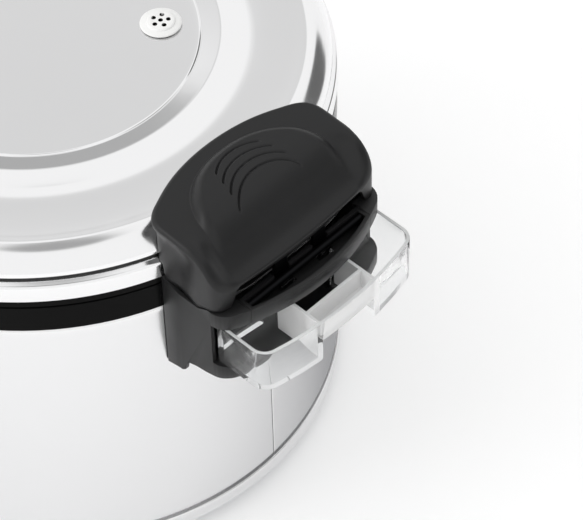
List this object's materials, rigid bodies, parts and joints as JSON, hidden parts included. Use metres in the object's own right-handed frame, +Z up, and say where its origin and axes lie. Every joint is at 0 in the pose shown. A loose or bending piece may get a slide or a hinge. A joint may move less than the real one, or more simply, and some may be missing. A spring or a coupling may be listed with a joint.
{
  "type": "countertop rice cooker and warmer",
  "caption": "Round steel countertop rice cooker with a hinged stepped lid, steam outlet, two side handles with clear condensate drawers and release levers.",
  "frame": {"origin": "centre of the circle of feet, on the surface the cooker stands on", "axes": "+Z up; side handles along +X and -X; control panel towards -Y"},
  "size_m": [0.5266, 0.397, 0.3075],
  "materials": {
    "polished_steel": "polished",
    "pan_steel": "satin",
    "collar_black": "gloss",
    "handle_black": "satin",
    "clear_plastic": "clear",
    "black_steel": "black oxide",
    "bright_steel": "satin",
    "zinc_steel": "zinc",
    "pot_aluminium": "satin",
    "element_steel": "dull",
    "soft_rubber": "matte",
    "silicone": "matte",
    "white_plastic": "satin",
    "switch_grey": "satin",
    "amber_lens": "gloss",
    "green_lens": "gloss",
    "inlet_black": "satin",
    "brass_pins": "polished",
    "ceramic_white": "glazed"
  },
  "bodies": {
    "cooker": {"base_band": "polished_steel", "base_pan": "pan_steel", "casing": "polished_steel", "collar": "collar_black", "control_panel": "handle_black", "cook_lamp": "amber_lens", "foot_screws": "bright_steel", "heating_element": "element_steel", "heating_plate": "pot_aluminium", "housing_screws": "bright_steel", "inlet_pins": "brass_pins", "inner_pot": "pot_aluminium", "left_bar": "handle_black", "left_hinge_pin": "black_steel", "left_housing": "handle_black", "liner": "zinc_steel", "plate_legs": "zinc_steel", "power_inlet": "inlet_black", "right_bar": "handle_black", "right_hinge_pin": "black_steel", "right_housing": "handle_black", "rubber_feet": "soft_rubber", "seam_strip": "pan_steel", "switch_pin": "bright_steel", "terminal_block": "ceramic_white", "terminal_screws": "bright_steel", "thermostat_cup": "bright_steel", "thermostat_spring": "bright_steel", "warm_lamp": "green_lens", "warming_band": "element_steel"},
    "lid": {"lid_shell": "polished_steel", "lid_inner_plate": "pot_aluminium", "lid_gasket": "silicone", "steam_cap": "white_plastic", "steam_tube": "silicone", "steam_seal": "silicone", "lid_rivets": "bright_steel", "handle_screws": "bright_steel", "right_lid_handle": "handle_black", "left_lid_handle": "handle_black", "right_release_pin": "bright_steel", "left_release_pin": "bright_steel", "right_release_springs": "bright_steel", "left_release_springs": "bright_steel", "right_lid_bracket": "zinc_steel", "left_lid_bracket": "zinc_steel"},
    "right_release": {"right_release_lever": "handle_black", "right_release_hooks": "black_steel"},
    "left_release": {"left_release_lever": "handle_black", "left_release_hooks": "black_steel"},
    "right_tray": {"right_drawer": "clear_plastic"},
    "left_tray": {"left_drawer": "clear_plastic"},
    "sensor": {"thermostat_plunger": "pot_aluminium"},
    "cook_key": {"cook_switch": "switch_grey"}
  },
  "joints": [
    {"name": "lid_hinge", "type": "hinge", "parent": "cooker", "child": "lid", "pos_m": [-0.227, 0, 0.257], "axis": [0, -1, 0], "range_deg": [0, 80]},
    {"name": "right_release_pivot", "type": "hinge", "parent": "lid", "child": "right_release", "pos_m": [0.215, 0, 0.2728], "axis": [0, 1, 0], "range_deg": [0, 13], "stiffness_Nm_per_rad": 0.35, "springref_deg": -14.32},
    {"name": "left_release_pivot", "type": "hinge", "parent": "lid", "child": "left_release", "pos_m": [-0.215, 0, 0.2728], "axis": [0, -1, 0], "range_deg": [0, 13], "stiffness_Nm_per_rad": 0.35, "springref_deg": -14.32},
    {"name": "right_drawer_slide", "type": "slide", "parent": "cooker", "child": "right_tray", "axis": [1, 0, 0], "range_m": [-0.026, 0.035]},
    {"name": "left_drawer_slide", "type": "slide", "parent": "cooker", "child": "left_tray", "axis": [-1, 0, 0], "range_m": [-0.026, 0.035]},
    {"name": "sensor_plunge", "type": "slide", "parent": "cooker", "child": "sensor", "axis": [0, 0, -1], "range_m": [0, 0.003], "stiffness_N_per_m": 900, "springref_m": -0.004, "deforming": ["thermostat_spring"]},
    {"name": "cook_key_rock", "type": "hinge", "parent": "cooker", "child": "cook_key", "pos_m": [0, -0.184, 0.118], "axis": [1, 0, 0], "range_deg": [0, 7], "stiffness_Nm_per_rad": 0.15, "springref_deg": -11.46}
  ]
}
